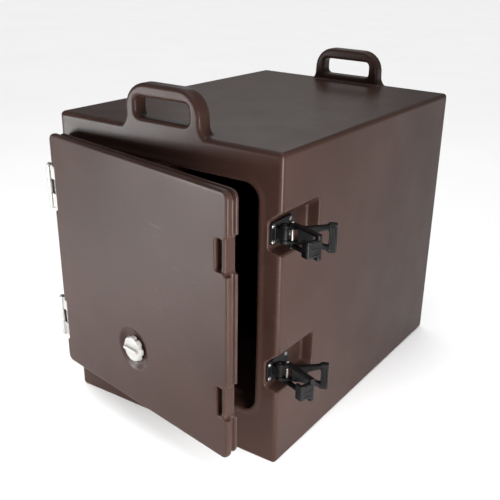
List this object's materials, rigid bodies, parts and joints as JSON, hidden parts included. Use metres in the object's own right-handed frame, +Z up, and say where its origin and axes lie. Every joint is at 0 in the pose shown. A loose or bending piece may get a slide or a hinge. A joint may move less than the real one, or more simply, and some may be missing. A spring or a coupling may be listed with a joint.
{
  "type": "insulated food carrier",
  "caption": "Front-loading insulated food carrier: double-walled moulded box with end handles, a hinged plug door, draw latches, a steam vent and pan rails.",
  "frame": {"origin": "centre of the base's underside, on the surface the carrier stands on", "axes": "+X to the carrier's right as seen from the front, +Y from the door to the back, +Z up; the door is stored 10.5 degrees ajar"},
  "size_m": [0.5501, 0.7542, 0.617],
  "materials": {
    "moulded_plastic": "satin, dark brown rotationally moulded polyethylene",
    "plug_plastic": "satin",
    "insulating_foam": "closed-cell foam",
    "gasket_rubber": "matte",
    "latch_nylon": "satin black nylon",
    "steel": "brushed stainless",
    "vent_plastic": "pale grey-white"
  },
  "bodies": {
    "carrier": {"body_shell": "moulded_plastic", "body_foam": "insulating_foam", "body_foam_plugs": "plug_plastic", "body_hinge_screws": "steel", "latch_screws": "steel", "upper_hinge_body_leaf": "steel", "upper_hinge_pin": "steel", "lower_hinge_body_leaf": "steel", "lower_hinge_pin": "steel", "upper_latch_base": "latch_nylon", "upper_latch_pivot_pin": "steel", "lower_latch_base": "latch_nylon", "lower_latch_pivot_pin": "steel"},
    "door": {"door_shell": "moulded_plastic", "door_foam": "insulating_foam", "door_foam_plug": "plug_plastic", "door_gasket": "gasket_rubber", "door_hinge_screws": "steel", "vent_seat": "vent_plastic", "upper_hinge_door_leaf": "steel", "lower_hinge_door_leaf": "steel"},
    "vent": {"vent_cap": "vent_plastic"},
    "upper_lever": {"upper_latch_lever": "latch_nylon", "upper_latch_link_pin": "steel"},
    "upper_hook": {"upper_latch_hook": "latch_nylon"},
    "lower_lever": {"lower_latch_lever": "latch_nylon", "lower_latch_link_pin": "steel"},
    "lower_hook": {"lower_latch_hook": "latch_nylon"}
  },
  "joints": [
    {"name": "door_hinge", "type": "hinge", "parent": "carrier", "child": "door", "pos_m": [-0.247, -0.338, 0.29], "axis": [0, 0, -1], "range_deg": [-10.5, 249.5]},
    {"name": "vent_turn", "type": "hinge", "parent": "door", "child": "vent", "pos_m": [-0.01721, -0.38771, 0.18], "axis": [-0.1822, -0.9833, 0], "range_deg": [0, 90]},
    {"name": "upper_lever_pivot", "type": "hinge", "parent": "carrier", "child": "upper_lever", "pos_m": [0.222, -0.297, 0.417], "axis": [0, 0, -1], "range_deg": [-65, 8]},
    {"name": "upper_hook_pivot", "type": "hinge", "parent": "upper_lever", "child": "upper_hook", "pos_m": [0.23358, -0.29392, 0.417], "axis": [0, 0, 1], "range_deg": [-135.5, 17]},
    {"name": "lower_lever_pivot", "type": "hinge", "parent": "carrier", "child": "lower_lever", "pos_m": [0.222, -0.297, 0.173], "axis": [0, 0, -1], "range_deg": [-65, 8]},
    {"name": "lower_hook_pivot", "type": "hinge", "parent": "lower_lever", "child": "lower_hook", "pos_m": [0.23358, -0.29392, 0.173], "axis": [0, 0, 1], "range_deg": [-135.5, 17]}
  ],
  "couplings": [
    {"joint": "upper_hook_pivot", "follows": "upper_lever_pivot", "ratio": 2.0769},
    {"joint": "lower_hook_pivot", "follows": "lower_lever_pivot", "ratio": 2.0769}
  ]
}
